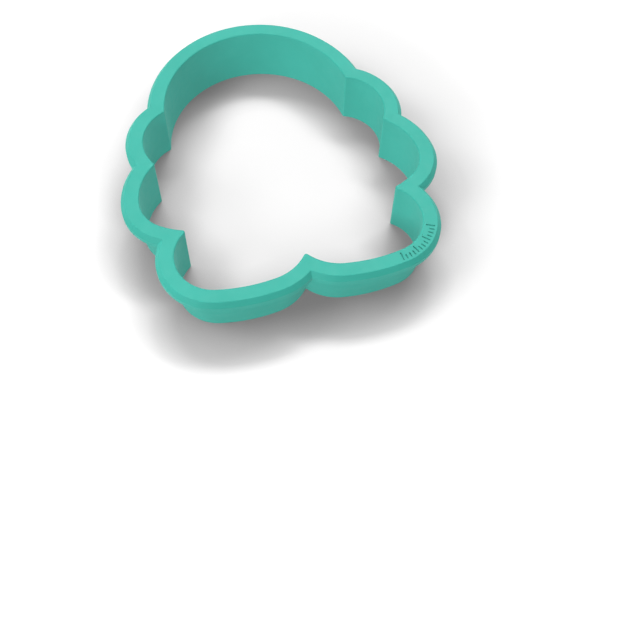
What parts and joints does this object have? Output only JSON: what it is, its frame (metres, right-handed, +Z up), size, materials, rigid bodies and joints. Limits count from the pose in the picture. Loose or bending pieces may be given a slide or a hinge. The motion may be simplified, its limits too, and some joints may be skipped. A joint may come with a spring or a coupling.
{
  "type": "cookie cutter",
  "caption": "Figure-shaped cookie cutter: an open lobed ring with a flat, bevelled, overhanging grip rim, an upright wall and a tapered cutting edge.",
  "frame": {"origin": "on the surface the cutting edge stands on, under the middle of the plan", "axes": "+Z up from the cutting edge to the grip rim, +Y towards the head of the figure, +X to the right"},
  "size_m": [0.105, 0.1136, 0.0201],
  "materials": {
    "teal_plastic": "smooth satin plastic, coloured right through"
  },
  "bodies": {
    "root": {"grip_rim": "teal_plastic", "cutting_wall": "teal_plastic", "cutting_edge": "teal_plastic"}
  },
  "joints": []
}
